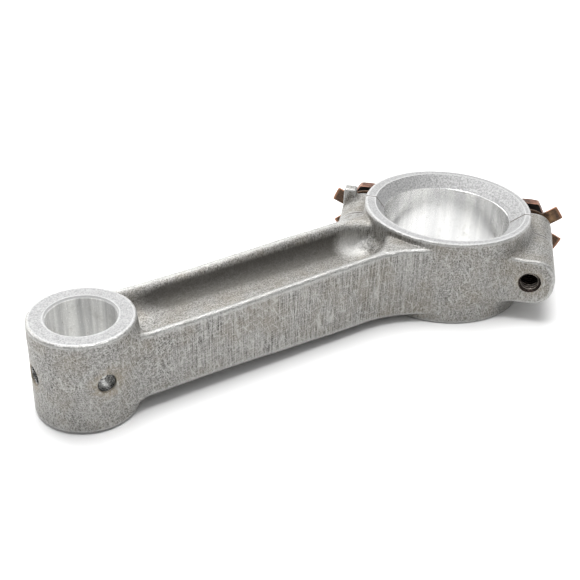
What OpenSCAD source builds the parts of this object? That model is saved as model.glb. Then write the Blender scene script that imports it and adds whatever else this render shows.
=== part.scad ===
// Connecting rod with an obliquely split crankpin end, a bolted cap and two sheet lock plates.
// Millimetres. The origin is the centre of the crankpin bore. +X runs from the piston pin
// bore to the crankpin bore, and +Z runs along both bores.

/* [Rod] */
// distance between the centres of the two bores
rod_l = 129.7; // [90:0.1:180]
// width of the crankpin end along its bore
big_w = 29; // [22:0.2:44]
// width of the piston pin end along its bore
small_w = 28.4; // [20:0.2:44]

/* [Piston pin end] */
// diameter of the piston pin bore
pin_d = 19.06; // [12:0.01:24]
// thickness of the wall round the piston pin bore
small_wall = 5.12; // [4:0.01:8]
// width of the bevel at each mouth of the piston pin bore
pin_bevel = 0.8; // [0.2:0.1:1.5]
// width of the bevel round the outside of the piston pin end
small_bevel = 0.6; // [0.2:0.1:1.5]
// diameter of the oil hole in the side of the piston pin end
side_oil_d = 4.9; // [2:0.1:7]
// diameter of the oil hole at the far end of the rod
end_oil_d = 5.2; // [2:0.1:7]
// distance of the side oil hole from the middle of the width
side_oil_z = 1; // [-3:0.1:3]

/* [Crankpin end] */
// diameter of the crankpin bore
crank_d = 41.3; // [34:0.01:50]
// width of the flat rim round each mouth of the crankpin bore
rim_w = 3; // [2:0.1:6]
// how far the coned mouth opens past the crankpin bore, on the radius
mouth_step = 3.75; // [2:0.05:5]
// depth of the coned mouth
mouth_h = 3.6; // [1:0.1:6]
// width of the bevel round the outside of the ring
ring_bevel = 0.5; // [0.2:0.1:1.5]
// angle from +X of the line the cap comes off along
split_angle = 45; // [30:1:60]
// gap between the rod and the cap at the split
split_gap = 0.1; // [0.04:0.02:0.3]

/* [Beam] */
// how much narrower the beam is than the piston pin end, on each side
beam_set_in = 1.9; // [1:0.1:4]
// offset of the beam's middle line towards +Y
beam_shift = 0.65; // [-1:0.05:1]
// step down from each face of the piston pin end to the beam
small_step = 3.7; // [1:0.1:6]
// step down from each face of the crankpin end to the beam
big_step = 2.45; // [1:0.05:5]
// width of the top of each flange
flange_w = 3.3; // [1.6:0.1:4.5]
// thickness of the web between the two channels
web_t = 5.8; // [5:0.1:10]
// radius along the bottom corners of each channel
channel_r = 7.5; // [1:0.1:7.5]
// distance from the far bolt axis back to the slanting end of each channel
channel_end_gap = 10.5; // [8:0.1:13]
// radius of the hollow blend from the beam to the ring on the -Y side
neck_r = 34; // [20:1:50]

/* [Bolt bosses] */
// distance of each bolt axis from the wall of the crankpin bore
bolt_offset = 8.05; // [7:0.05:12]
// diameter of the bolt bosses
boss_d = 15.6; // [12:0.1:18]
// length of the bolt boss on the rod, from the split
boss_rod_l = 19.1; // [14:0.1:24]
// how far the channels reach past the end of a boss, towards the split
channel_past_boss = 3.5; // [1:0.1:6]
// length of the bolt boss on the cap, from the split
boss_cap_l = 16; // [12:0.1:22]
// height of the rib that joins each boss to the ring
rib_h = 8; // [6:0.1:14]
// distance of the rib from the end face of the boss on the rod
rib_inset = 1.2; // [0.4:0.1:3]
// width of the lug on the far boss of the cap
lug_w = 4.1; // [2:0.1:6]
// length of the lug along the bolt
lug_l = 4; // [2:0.1:8]
// height of the lug above the middle of the rod
lug_h = 10.3; // [8:0.1:12]

/* [Bolts] */
// outside diameter of the bolt thread
bolt_d = 6.2; // [4:0.05:7.6]
// length of each bolt under its head
bolt_l = 31.75; // [26:0.25:39]
// size across the flats of the hexagon head
head_af = 11.1; // [8:0.1:14]
// height of the hexagon head
head_h = 4; // [2.5:0.1:6]
// distance of the near head's underside from its seat on the cap
near_head_gap = 12; // [8:0.1:14]
// distance of the far head's underside from its seat on the cap
far_head_gap = 10; // [8:0.1:14]
// clearance between a bolt and its threaded hole, on the radius
thread_clear = 0.08; // [0.02:0.01:0.1]
// clearance between a bolt and its hole in the cap, on the radius
shank_clear = 0.3; // [0.15:0.05:0.5]

/* [Lock plates] */
// thickness of the lock plates
plate_t = 0.8; // [0.4:0.1:1.4]
// diameter of the round middle of a lock plate
plate_d = 14; // [12:0.1:16]
// reach of the ears from the bolt axis
ear_reach = 12.2; // [9:0.1:14]
// width of the ears
ear_w = 4.8; // [3:0.1:6.5]
// angle between the two ears of a lock plate
ear_spread = 60; // [40:1:90]
// distance of the near lock plate from its seat on the cap
near_plate_gap = 3.6; // [0.5:0.1:6]
// distance of the far lock plate from its seat on the cap
far_plate_gap = 3.2; // [0.5:0.1:6]
// turn of the near lock plate about its bolt
near_plate_turn = 6; // [-30:1:30]
// turn of the far lock plate about its bolt
far_plate_turn = -8; // [-30:1:30]
// clearance between a bolt and the hole in its lock plate, on the radius
plate_clear = 0.3; // [0.2:0.05:0.6]
// clearance round the middle of a lock plate where its seat is cut into the ring
seat_clear = 0.3; // [0.2:0.1:1]

/* [Hidden] */
// faces used for each round shape
round_fn = 96;
// number of flats on a bolt head
hex_fn = 6;
// small overlap that joins or cuts cleanly
eps = 0.5;
// length that reaches past the whole rod
far_away = 300;
// quarter and half turns
quarter_turn = 90;
half_turn = 180;
// radii
pin_r = pin_d / 2;
small_r = pin_r + small_wall;
crank_r = crank_d / 2;
mouth_r = crank_r + mouth_step;
ring_r = mouth_r + rim_w;
boss_r = boss_d / 2;
bolt_r = bolt_d / 2;
thread_r = bolt_r + thread_clear;
shank_hole_r = bolt_r + shank_clear;
plate_hole_r = bolt_r + plate_clear;
plate_r = plate_d / 2;
seat_r = plate_r + seat_clear;
// half heights
big_hz = big_w / 2;
small_hz = small_w / 2;
beam_small_hz = small_hz - small_step;
beam_big_hz = big_hz - big_step;
web_hz = web_t / 2;
// distance of each bolt axis from the centre of the crankpin bore
bolt_s = crank_r + bolt_offset;
// distance of the slanting end of each channel from that centre, across the bolts
channel_end_v = bolt_s - channel_end_gap;
// distance from the split to the end of the channels beside the far bolt boss
boss_far_l = boss_rod_l - channel_past_boss;
// distances from the split to the undersides of the heads and to the lock plates
near_head_n = boss_cap_l + near_head_gap;
far_head_n = boss_cap_l + far_head_gap;
near_plate_n = boss_cap_l + near_plate_gap;
far_plate_n = boss_cap_l + far_plate_gap;
// centre of the piston pin bore along X
pin_x = -rod_l;
// the two sides of the beam
beam_half = small_r - beam_set_in;
beam_w = 2 * beam_half;
beam_y0 = beam_shift - beam_half;
beam_y1 = beam_shift + beam_half;
// the two sides of a channel at its top
channel_y0 = beam_y0 + flange_w;
channel_y1 = beam_y1 - flange_w;
// where the beam's height starts and stops growing, counted from the piston pin bore
taper_from = 0.285 * rod_l;
taper_mid = 0.58 * rod_l;
taper_to = 0.76 * rod_l;
// share of the growth in height reached at the middle station
taper_share = 0.82;
beam_mid_hz = beam_small_hz + taper_share * (beam_big_hz - beam_small_hz);
// how far the hollow blend on the -Y side runs into the ring
neck_sink = 0.3;
neck_reach = ring_r - neck_sink;
// centre of that blend, which touches the side of the beam
neck_y = beam_y0 - neck_r;
neck_x = -sqrt(pow(neck_reach + neck_r, 2) - pow(neck_y, 2));
// where the blend comes closest to the crankpin bore, as a share of its centre's place
neck_share = neck_reach / (neck_reach + neck_r);
// the channels stop this far outside the ring and the piston pin end
channel_stop = 0.4;
channel_wall_r = ring_r + channel_stop;
channel_small_r = small_r + channel_stop;
// wall left between the far threaded hole and the channel
far_thread_wall = 0.4;
// depth of the far threaded hole from the split
far_thread_l = boss_far_l - far_thread_wall;
// bevel at a bolt's point
point_bevel = 0.8;
// bevel of a bolt head, as a share of its height
head_bevel_share = 0.18;
head_bevel = head_h * head_bevel_share;
// corner radius of a bolt head
head_corner_r = head_af / (2 * cos(half_turn / hex_fn));
// bevel at the mouth of the near threaded hole
thread_bevel = 0.5;
// how far the lug sits inside the outer side of its boss
lug_inset = 0.4;
// direction of the ears of each lock plate, measured from its outward side
half_spread = ear_spread / 2;

// turns a shape so that its X axis is the line the cap comes off along
module along_split() {
    rotate([0, 0, split_angle])
        children();
}

// a rod along the bolt direction, from n0 to n1, at the bolt axis on the given side
module on_bolt(side, n0, n1, r) {
    translate([n0, side * bolt_s, 0])
        rotate([0, quarter_turn, 0])
            cylinder(h = n1 - n0, r = r, $fn = round_fn);
}

// a bevelled disc about Z
module bevelled_disc(r, hz, bevel) {
    rotate_extrude($fn = round_fn)
        polygon([
            [0, -hz],
            [r - bevel, -hz],
            [r, bevel - hz],
            [r, hz - bevel],
            [r - bevel, hz],
            [0, hz]
        ]);
}

// outline of the beam and its two blends, seen along Z
module beam_plan() {
    difference() {
        union() {
            translate([pin_x, beam_y0])
                square([rod_l, beam_w]);
            polygon([
                [neck_x, beam_y0 + eps],
                [neck_x, beam_y0],
                [neck_x * neck_share, neck_y * neck_share],
                [0, 0]
            ]);
        }
        translate([neck_x, neck_y])
            circle(r = neck_r, $fn = round_fn);
    }
}

// side view of the beam, which grows taller towards the crankpin end
module beam_side() {
    polygon([
        [pin_x, -beam_small_hz],
        [pin_x + taper_from, -beam_small_hz],
        [pin_x + taper_mid, -beam_mid_hz],
        [pin_x + taper_to, -beam_big_hz],
        [0, -beam_big_hz],
        [0, beam_big_hz],
        [pin_x + taper_to, beam_big_hz],
        [pin_x + taper_mid, beam_mid_hz],
        [pin_x + taper_from, beam_small_hz],
        [pin_x, beam_small_hz]
    ]);
}

// the beam before its channels are cut
module beam_blank() {
    intersection() {
        translate([0, 0, -big_hz])
            linear_extrude(height = big_w)
                beam_plan();
        translate([0, far_away / 2, 0])
            rotate([quarter_turn, 0, 0])
                linear_extrude(height = far_away)
                    beam_side();
    }
}

// cross section of the upper channel: Y to the right, Z up
module channel_section() {
    corner_z = web_hz + channel_r;
    high_z = big_hz + eps;
    union() {
        translate([channel_y0 + channel_r, corner_z])
            circle(r = channel_r, $fn = round_fn);
        translate([channel_y1 - channel_r, corner_z])
            circle(r = channel_r, $fn = round_fn);
        translate([channel_y0 + channel_r, web_hz])
            square([channel_y1 - channel_y0 - 2 * channel_r, high_z - web_hz]);
        translate([channel_y0, corner_z])
            square([channel_y1 - channel_y0, high_z - corner_z]);
    }
}

// plan of a channel: its big end is a square corner turned with the split, cut back by the ring
module channel_plan() {
    difference() {
        along_split()
            translate([-boss_far_l - far_away, channel_end_v])
                square([far_away, far_away]);
        circle(r = channel_wall_r, $fn = round_fn);
        translate([pin_x, 0])
            circle(r = channel_small_r, $fn = round_fn);
    }
}

// the upper channel as a cutter
module channel_cut() {
    intersection() {
        translate([pin_x, 0, 0])
            rotate([quarter_turn, 0, quarter_turn])
                linear_extrude(height = rod_l)
                    channel_section();
        linear_extrude(height = big_w)
            channel_plan();
    }
}

// the rib that joins the bosses to the ring, from n0 to n1 along the bolt direction
module boss_rib(side, n0, n1) {
    y0 = side > 0 ? 0 : -bolt_s;
    translate([n0, y0, -rib_h / 2])
        cube([n1 - n0, bolt_s, rib_h]);
}

// the crankpin bore and its two coned mouths
module crank_bore() {
    rotate_extrude($fn = round_fn)
        polygon([
            [0, -big_hz - eps],
            [mouth_r + eps, -big_hz - eps],
            [mouth_r, -big_hz],
            [crank_r, mouth_h - big_hz],
            [crank_r, big_hz - mouth_h],
            [mouth_r, big_hz],
            [mouth_r + eps, big_hz + eps],
            [0, big_hz + eps]
        ]);
}

// the piston pin bore and its two bevels
module pin_bore() {
    translate([pin_x, 0, 0])
        rotate_extrude($fn = round_fn)
            polygon([
                [0, -small_hz - eps],
                [pin_r + pin_bevel + eps, -small_hz - eps],
                [pin_r + pin_bevel, -small_hz],
                [pin_r, pin_bevel - small_hz],
                [pin_r, small_hz - pin_bevel],
                [pin_r + pin_bevel, small_hz],
                [pin_r + pin_bevel + eps, small_hz + eps],
                [0, small_hz + eps]
            ]);
}

// the two oil holes in the piston pin end
module oil_holes() {
    translate([pin_x, 0, side_oil_z])
        rotate([quarter_turn, 0, 0])
            cylinder(h = small_r + eps, r = side_oil_d / 2, $fn = round_fn);
    translate([pin_x, 0, 0])
        rotate([0, -quarter_turn, 0])
            cylinder(h = small_r + eps, r = end_oil_d / 2, $fn = round_fn);
}

// everything on the rod's side of the split, in the turned frame
module rod_side_only() {
    translate([-far_away - split_gap / 2, -far_away / 2, -far_away / 2])
        cube([far_away, far_away, far_away]);
}

// everything on the cap's side of the split, in the turned frame
module cap_side_only() {
    translate([split_gap / 2, -far_away / 2, -far_away / 2])
        cube([far_away, far_away, far_away]);
}

// the rod: piston pin end, beam, half of the ring and two threaded bosses
module rod_body() {
    color([0.66, 0.66, 0.65])
        difference() {
            union() {
                translate([pin_x, 0, 0])
                    bevelled_disc(small_r, small_hz, small_bevel);
                difference() {
                    union() {
                        beam_blank();
                        along_split() {
                            on_bolt(1, -boss_rod_l, 0, boss_r);
                            boss_rib(1, rib_inset - boss_rod_l, 0);
                        }
                    }
                    channel_cut();
                    mirror([0, 0, 1])
                        channel_cut();
                }
                bevelled_disc(ring_r, big_hz, ring_bevel);
                along_split() {
                    on_bolt(-1, -boss_rod_l, 0, boss_r);
                    boss_rib(-1, rib_inset - boss_rod_l, 0);
                }
            }
            crank_bore();
            pin_bore();
            oil_holes();
            along_split() {
                cap_side_only();
                translate([-split_gap, 0, 0])
                    cap_side_only();
                on_bolt(-1, -boss_rod_l - eps, eps, thread_r);
                on_bolt(1, -far_thread_l, eps, thread_r);
                translate([-boss_rod_l, -bolt_s, 0])
                    rotate([0, quarter_turn, 0])
                        cylinder(h = thread_bevel, r1 = thread_r + thread_bevel, r2 = thread_r,
                            $fn = round_fn);
            }
        }
}

// the cap: the other half of the ring, two bosses with a clearance hole and a seat, one lug
module rod_cap() {
    lug_y = bolt_s + boss_r - lug_inset - lug_w;
    color([0.68, 0.68, 0.67])
        difference() {
            union() {
                bevelled_disc(ring_r, big_hz, ring_bevel);
                along_split() {
                    on_bolt(-1, 0, boss_cap_l, boss_r);
                    on_bolt(1, 0, boss_cap_l, boss_r);
                    boss_rib(-1, 0, boss_cap_l - rib_inset);
                    boss_rib(1, 0, boss_cap_l - rib_inset);
                    translate([boss_cap_l - lug_l, lug_y, 0])
                        cube([lug_l, lug_w, lug_h]);
                }
            }
            crank_bore();
            along_split() {
                rod_side_only();
                translate([split_gap, 0, 0])
                    rod_side_only();
                on_bolt(-1, -eps, boss_cap_l + eps, shank_hole_r);
                on_bolt(1, -eps, boss_cap_l + eps, shank_hole_r);
                on_bolt(-1, boss_cap_l, far_away, seat_r);
                on_bolt(1, boss_cap_l, far_away, seat_r);
            }
        }
}

// a hexagon bolt along +X with the underside of its head at 0
module hex_bolt() {
    rotate([0, quarter_turn, 0])
        union() {
            intersection() {
                rotate([0, 0, quarter_turn])
                    cylinder(h = head_h, r = head_corner_r, $fn = hex_fn);
                rotate_extrude($fn = round_fn)
                    polygon([
                        [0, 0],
                        [head_corner_r, 0],
                        [head_corner_r, head_h - head_bevel],
                        [head_corner_r - 2 * head_bevel, head_h],
                        [0, head_h]
                    ]);
            }
            rotate_extrude($fn = round_fn)
                polygon([
                    [0, eps],
                    [bolt_r, eps],
                    [bolt_r, point_bevel - bolt_l],
                    [bolt_r - point_bevel, -bolt_l],
                    [0, -bolt_l]
                ]);
        }
}

// the bolt on the -Y side
module near_bolt() {
    color([0.55, 0.33, 0.24])
        along_split()
            translate([near_head_n, -bolt_s, 0])
                hex_bolt();
}

// the bolt on the +Y side
module far_bolt() {
    color([0.55, 0.33, 0.24])
        along_split()
            translate([far_head_n, bolt_s, 0])
                hex_bolt();
}

// a lock plate in its own plane: a round middle, two ears and a hole for the bolt
module lock_plate_plan(turn) {
    difference() {
        union() {
            circle(r = plate_r, $fn = round_fn);
            for (a = [-half_spread, half_spread])
                rotate([0, 0, turn + a])
                    translate([0, -ear_w / 2])
                        square([ear_reach, ear_w]);
        }
        circle(r = plate_hole_r, $fn = round_fn);
    }
}

// a lock plate standing across its bolt, ears away from the crankpin bore
module lock_plate(side, n, turn) {
    along_split()
        translate([n, side * bolt_s, 0])
            rotate([quarter_turn, 0, quarter_turn])
                mirror([side > 0 ? 0 : 1, 0, 0])
                    linear_extrude(height = plate_t)
                        lock_plate_plan(turn);
}

// the lock plate on the -Y side
module near_lock_plate() {
    color([0.50, 0.30, 0.20])
        lock_plate(-1, near_plate_n, near_plate_turn);
}

// the lock plate on the +Y side
module far_lock_plate() {
    color([0.50, 0.30, 0.20])
        lock_plate(1, far_plate_n, far_plate_turn);
}

rod_body();
rod_cap();
near_bolt();
far_bolt();
near_lock_plate();
far_lock_plate();
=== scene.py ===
# %% [markdown]
# A connecting rod, from its pin bore to its bolted cap, built around its frame. The frame
# holds the sizes. Each piece here stands for one solid of the frame and moves with it. The
# castings come from a distance field, the bolts from a threaded-rod tree, and the lock plates
# from a polar outline.

# %% Load the frame
import math

import bpy
import numpy as np
from mathutils import Matrix, Vector


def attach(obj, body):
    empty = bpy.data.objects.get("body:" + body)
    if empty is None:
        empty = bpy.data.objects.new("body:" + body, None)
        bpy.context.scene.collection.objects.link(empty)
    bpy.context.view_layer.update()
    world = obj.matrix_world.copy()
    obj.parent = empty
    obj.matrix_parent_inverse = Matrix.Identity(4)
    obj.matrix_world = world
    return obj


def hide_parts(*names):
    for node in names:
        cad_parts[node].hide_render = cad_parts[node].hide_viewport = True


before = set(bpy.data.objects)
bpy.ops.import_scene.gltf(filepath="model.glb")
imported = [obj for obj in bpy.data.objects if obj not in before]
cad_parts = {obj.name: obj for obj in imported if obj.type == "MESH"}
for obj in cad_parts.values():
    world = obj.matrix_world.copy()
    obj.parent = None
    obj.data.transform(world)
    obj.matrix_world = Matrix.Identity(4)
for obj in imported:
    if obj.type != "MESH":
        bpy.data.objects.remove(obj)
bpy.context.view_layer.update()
print("frame nodes:", sorted(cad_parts))

# %% [markdown]
# Every size below is in millimetres, and is turned into metres when a mesh is made. The
# origin is the middle of the crankpin bore. U runs along the bolts, away from the rod, and V
# runs across the cap joint, so both bolts share one U direction.

# %% Sizes
MM = 0.001
ROD_L = 129.7
SMALL_R, SMALL_HZ, PIN_R = 14.65, 14.2, 9.53
RING_R, BIG_HZ, CRANK_R = 27.4, 14.5, 20.65
MOUTH_R, MOUTH_H = 24.4, 3.6
BEAM_Y0, BEAM_Y1 = -12.1, 13.4
CHANNEL_Y0, CHANNEL_Y1, CHANNEL_R, WEB_HZ = -8.8, 10.1, 7.5, 2.9
CHANNEL_U, CHANNEL_V = -15.6, 18.2
NECK_R = 34.0
BOLT_V, BOSS_R, BOSS_ROD_L, BOSS_CAP_L = 28.7, 7.8, 19.1, 16.0
BOLT_R, BOLT_L, HEAD_AF, HEAD_H = 3.1, 31.75, 11.1, 4.0
NEAR_HEAD_U, FAR_HEAD_U = 28.0, 26.0
NEAR_PLATE_U, FAR_PLATE_U, PLATE_T = 19.6, 19.2, 0.8
SEAT_R = 7.3
HOLE_R, FAR_THREAD_L, TRUE_THREAD_U = 3.18, 15.2, -14.9
FRONT_OIL_R, FRONT_OIL_Z, END_OIL_R = 2.45, 1.0, 2.6
PITCH, THREAD_DEPTH = 1.27, 0.52
SPLIT_GAP = 0.16
COS45 = math.sqrt(0.5)


def turned(x, y):
    """U and V of a point: along the bolts, and across them."""
    return (x + y) * COS45, (y - x) * COS45


def unturned(u, v):
    """X and Y of a point given by U and V."""
    return (u - v) * COS45, (u + v) * COS45


print("rod length", ROD_L, "mm, crankpin bore", 2 * CRANK_R, "mm")

# %% [markdown]
# A casting is all soft corners: the mould needs draft and the metal needs fillets. A signed
# distance field gives both at once. It says how far each point is from the skin, negative
# inside, and two fields join with a fillet where their smaller value is taken softly.

# %% Distance field helpers
def soft_min(a, b, k):
    """Joins two shapes with a fillet about k wide."""
    h = np.maximum(k - np.abs(a - b), 0.0) / k
    return np.minimum(a, b) - h * h * k * 0.25


def soft_max(a, b, k):
    """Keeps what two shapes share, with a rounded edge about k wide."""
    return -soft_min(-a, -b, k)


def round_corner(a, b, r):
    """The shape inside both a and b, with its shared edge rounded to radius r."""
    p, q = a + r, b + r
    return np.minimum(np.maximum(p, q), 0.0) + np.hypot(np.maximum(p, 0), np.maximum(q, 0)) - r


def disc(x, y, z, cx, r, hz, edge):
    """A round disc about Z at X = cx."""
    return round_corner(np.hypot(x - cx, y) - r, np.abs(z) - hz, edge)


def barrel(u, v, z, v0, u0, u1, r, edge):
    """A round bar along U, from u0 to u1."""
    middle, half = 0.5 * (u0 + u1), 0.5 * (u1 - u0)
    return round_corner(np.hypot(v - v0, z) - r, np.abs(u - middle) - half, edge)


def near_boss(u, v, z, u0, u1, edge):
    """The near bolt boss: a bar with full corners, joined to the ring by a web as tall as it."""
    power = 2.5
    out = np.abs(v + BOLT_V) * (v < -BOLT_V)
    across = (out ** power + np.abs(z) ** power) ** (1 / power) - BOSS_R
    middle, half = 0.5 * (u0 + u1), 0.5 * (u1 - u0)
    return np.maximum(round_corner(across, np.abs(u - middle) - half, edge), v)


# %% [markdown]
# The beam is an I section: two flanges and a web. Its plan is a straight bar with a hollow
# neck that sweeps into the ring on one side. The channel on each face has a round floor and
# ends in a square corner under the ring, turned with the cap joint.

# %% Beam and channel fields
EDGE = 1.3


def neck_centre():
    """Centre of the hollow sweep, which touches the beam's side and the ring."""
    cy = BEAM_Y0 - NECK_R
    return -math.sqrt((RING_R + NECK_R) ** 2 - cy * cy), cy


NECK_X, NECK_Y = neck_centre()
NECK_L = math.hypot(NECK_X, NECK_Y)
HEIGHT_X = [-200.0, -92.7, -54.5, -31.0, 60.0]
HEIGHT_Z = [10.5, 10.5, 11.77, 12.05, 12.05]


def beam_field(x, y, z):
    """The beam without its channels: a straight bar and a hollow neck."""
    bar = np.maximum(np.maximum(BEAM_Y0 - y, y - BEAM_Y1), np.maximum(-ROD_L - x, x))
    beside = (y * NECK_X - x * NECK_Y) / NECK_L
    neck = np.maximum(NECK_R - np.hypot(x - NECK_X, y - NECK_Y), np.maximum(NECK_X - x, beside))
    neck = np.maximum(neck, y - BEAM_Y0 - 3.0)
    plan = np.minimum(bar, neck)
    tall = np.interp(x, HEIGHT_X, HEIGHT_Z).astype(x.dtype)
    return round_corner(plan, np.abs(z) - tall, EDGE)


def channel_field(x, y, z):
    """The hollow on each face of the beam, with a round floor and a square far end."""
    u, v = turned(x, y)
    middle, half = 0.5 * (CHANNEL_Y0 + CHANNEL_Y1), 0.5 * (CHANNEL_Y1 - CHANNEL_Y0)
    side = np.maximum(np.abs(y - middle) - (half - CHANNEL_R), 0.0)
    floor = np.maximum(WEB_HZ + CHANNEL_R - np.abs(z), 0.0)
    trough = np.hypot(side, floor) - CHANNEL_R
    far_end = soft_max(u - CHANNEL_U, CHANNEL_V - v, 3.0)
    near_end = SMALL_R - 1.0 - np.hypot(x + ROD_L, y)
    return soft_max(soft_max(trough, far_end, 5.0), near_end, 2.0)


print("neck centre at", round(NECK_X, 2), round(NECK_Y, 2))

# %% [markdown]
# The rod is cast in one piece: the small end, the beam and the rod's half of the ring, with
# a boss for each bolt. The fillets are wide where metal flows round a corner, as at the foot
# of the small end, and tight under the rim, where the ring was faced.

# %% Rod and cap fields
WAVE, TIGHT, WIDE = 0.025, 0.6, 6.0


def unevenness(x, y, z):
    """How far the cast skin wanders from true: a few hundredths of a millimetre."""
    slow = np.sin(0.31 * x + 0.23 * z + 1.1) * np.sin(0.27 * y - 0.19 * z + 0.4)
    quick = np.sin(0.71 * x - 0.53 * y + 2.0) * np.sin(0.67 * z + 0.45 * y)
    return WAVE * (slow + 0.6 * quick)


def eased(value):
    """Zero below 0, one above 1, and smooth between."""
    share = np.clip(value, 0.0, 1.0)
    return share * share * (3 - 2 * share)


def foot_width(x, y, z):
    """The fillet at the foot of the ring: tight under the rim, wide in the channel."""
    low = eased((9.5 - np.abs(z)) / 5.0)
    within = eased((y + 11.0) / 4.0)
    return TIGHT - 0.5 * low * (1 - within) + WIDE * low * within * eased(-x / 6.0)


def rod_field(x, y, z):
    """The rod's casting before any cut, as if its ring were whole."""
    u, v = turned(x, y)
    body = soft_min(beam_field(x, y, z),
                    barrel(u, v, z, BOLT_V, -BOSS_ROD_L, 6.0, BOSS_R, 0.8), 3.0)
    body = soft_max(body, -channel_field(x, y, z), 3.2)
    ring = disc(x, y, z, 0.0, RING_R, BIG_HZ, 0.5)
    body = soft_min(body, ring, foot_width(x, y, z))
    small = disc(x, y, z, -ROD_L, SMALL_R, SMALL_HZ, 0.7)
    body = soft_min(body, small, 0.4 + 3.2 * eased((x + ROD_L - 1.0) / 6.0))
    near = near_boss(u, v, z, -BOSS_ROD_L, 6.0, 0.7)
    return soft_min(body, near, 4.0) + unevenness(x, y, z)


def cap_field(x, y, z):
    """The cap's casting before any cut: a whole ring, two bosses and the lug."""
    u, v = turned(x, y)
    ring = disc(x, y, z, 0.0, RING_R, BIG_HZ, 0.5)
    far = barrel(u, v, z, BOLT_V, -6.0, BOSS_CAP_L, BOSS_R, 0.6)
    body = soft_min(ring, far, foot_width(x, y, z))
    body = soft_min(body, near_boss(u, v, z, -6.0, BOSS_CAP_L, 0.6), 4.0)
    half_u, half_v, half_z = 2.0, 2.05, 5.15
    middle = BOLT_V + BOSS_R - 0.4 - half_v
    slab = np.maximum(np.abs(u - BOSS_CAP_L + half_u) - half_u, np.abs(v - middle) - half_v)
    lug = round_corner(slab, np.abs(z - half_z) - half_z, 0.7)
    return soft_min(body, lug, 1.0) + unevenness(x, y, z)


# %% [markdown]
# Surface nets turn a field into a mesh. Each grid cell that the skin passes through gets
# one point, and neighbouring points are joined by four-sided faces. The points are then
# pulled onto the true skin along the field's slope, so the mesh is smoother than its grid.

# %% Surface nets
CORNERS = [(i, j, k) for i in (0, 1) for j in (0, 1) for k in (0, 1)]


def pull_to_skin(field, p, reach, rounds=3):
    """Moves points onto the zero level of a field, no further than reach each time."""
    h = 0.04
    for _ in range(rounds):
        x, y, z = p.T
        f = field(x, y, z)
        slope = np.stack([
            field(x + h, y, z) - field(x - h, y, z),
            field(x, y + h, z) - field(x, y - h, z),
            field(x, y, z + h) - field(x, y, z - h)], axis=1) / (2 * h)
        size = np.maximum((slope ** 2).sum(1), 0.2)
        move = -(f / size)[:, None] * slope
        length = np.linalg.norm(move, axis=1, keepdims=True)
        p = p + move * np.minimum(1.0, reach / np.maximum(length, 1e-9))
    return p


def net_points(field, low, high, step):
    """Points and four-sided faces of a field's skin, in millimetres."""
    axes = [np.arange(a, b + step, step, dtype=np.float32) for a, b in zip(low, high)]
    f = field(*np.meshgrid(*axes, indexing="ij"))
    inside = f < 0
    cells = [n - 1 for n in f.shape]
    views = [inside[i:i + cells[0], j:j + cells[1], k:k + cells[2]] for i, j, k in CORNERS]
    some, every = views[0].copy(), views[0].copy()
    for view in views[1:]:
        some |= view
        every &= view
    crossed = some & ~every
    where = np.argwhere(crossed)
    number = np.full(crossed.shape, -1, np.int64)
    number[crossed] = np.arange(len(where))
    value = {c: f[tuple((where + c).T)].astype(float) for c in CORNERS}
    total, count = np.zeros((len(where), 3)), np.zeros(len(where))
    for axis in range(3):
        for c in CORNERS:
            if c[axis]:
                continue
            d = tuple(1 if n == axis else c[n] for n in range(3))
            a, b = value[c], value[d]
            cut = (a < 0) != (b < 0)
            t = np.where(cut, a / np.where(cut, a - b, 1.0), 0.0)
            spot = np.tile(np.array(c, float), (len(where), 1))
            spot[:, axis] = t
            total += spot * cut[:, None]
            count += cut
    points = np.array(low) + (where + total / count[:, None]) * step
    quads = []
    for axis in range(3):
        b, c = (axis + 1) % 3, (axis + 2) % 3
        first = [slice(1, n - 1) for n in f.shape]
        second = list(first)
        first[axis], second[axis] = slice(0, -1), slice(1, None)
        start, end = inside[tuple(first)], inside[tuple(second)]
        at = np.argwhere(start != end)
        at[:, b] += 1
        at[:, c] += 1
        out = inside[tuple(at.T)]
        ring = []
        for sb, sc in ((1, 1), (0, 1), (0, 0), (1, 0)):
            shift = at.copy()
            shift[:, b] -= sb
            shift[:, c] -= sc
            ring.append(number[tuple(shift.T)])
        face = np.stack(ring, axis=1)
        face[~out] = face[~out][:, ::-1]
        quads.append(face)
    return points, np.concatenate(quads)


def relax(points, quads, field, reach):
    """Evens out the points along the skin, then pulls them back onto it."""
    for _ in range(2):
        total, count = np.zeros_like(points), np.zeros(len(points))
        for a, b in ((0, 1), (1, 2), (2, 3), (3, 0)):
            for p, q in ((quads[:, a], quads[:, b]), (quads[:, b], quads[:, a])):
                for n in range(3):
                    total[:, n] += np.bincount(p, points[q, n], len(points))
                count += np.bincount(p, minlength=len(points))
        points = 0.5 * points + 0.5 * total / count[:, None]
        points = pull_to_skin(field, points, reach, 1)
    return pull_to_skin(field, points, reach, 2)


def mesh_object(name, points, faces):
    """An object in the scene from points in millimetres and a list of faces."""
    mesh = bpy.data.meshes.new(name)
    mesh.from_pydata((np.asarray(points) * MM).tolist(), [], [list(map(int, f)) for f in faces])
    mesh.update()
    obj = bpy.data.objects.new(name, mesh)
    bpy.context.scene.collection.objects.link(obj)
    return obj


def cast(name, field, low, high, step):
    """A casting's mesh from its field."""
    points, quads = net_points(field, low, high, step)
    points = relax(pull_to_skin(field, points, step), quads, field, step)
    obj = mesh_object(name, points, quads)
    print(name, "cast with", len(quads), "faces")
    return obj


# The step of the net. The cap has finer corners than the rod, so its net is finer too.
NET = 0.54
rod = cast("rod_casting", rod_field, (-147, -43, -16), (34, 33, 16), NET)
cap = cast("cap_casting", cap_field, (-32, -33, -16), (40, 40, 16), NET * 0.85)

# %% [markdown]
# A threaded rod is a rule, not a sculpture: its skin rises and falls once a pitch while it
# winds round the axis. Geometry Nodes can state that rule directly. The tree moves each
# point of a fine tube in or out by a saw wave of its height and its angle.

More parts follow.
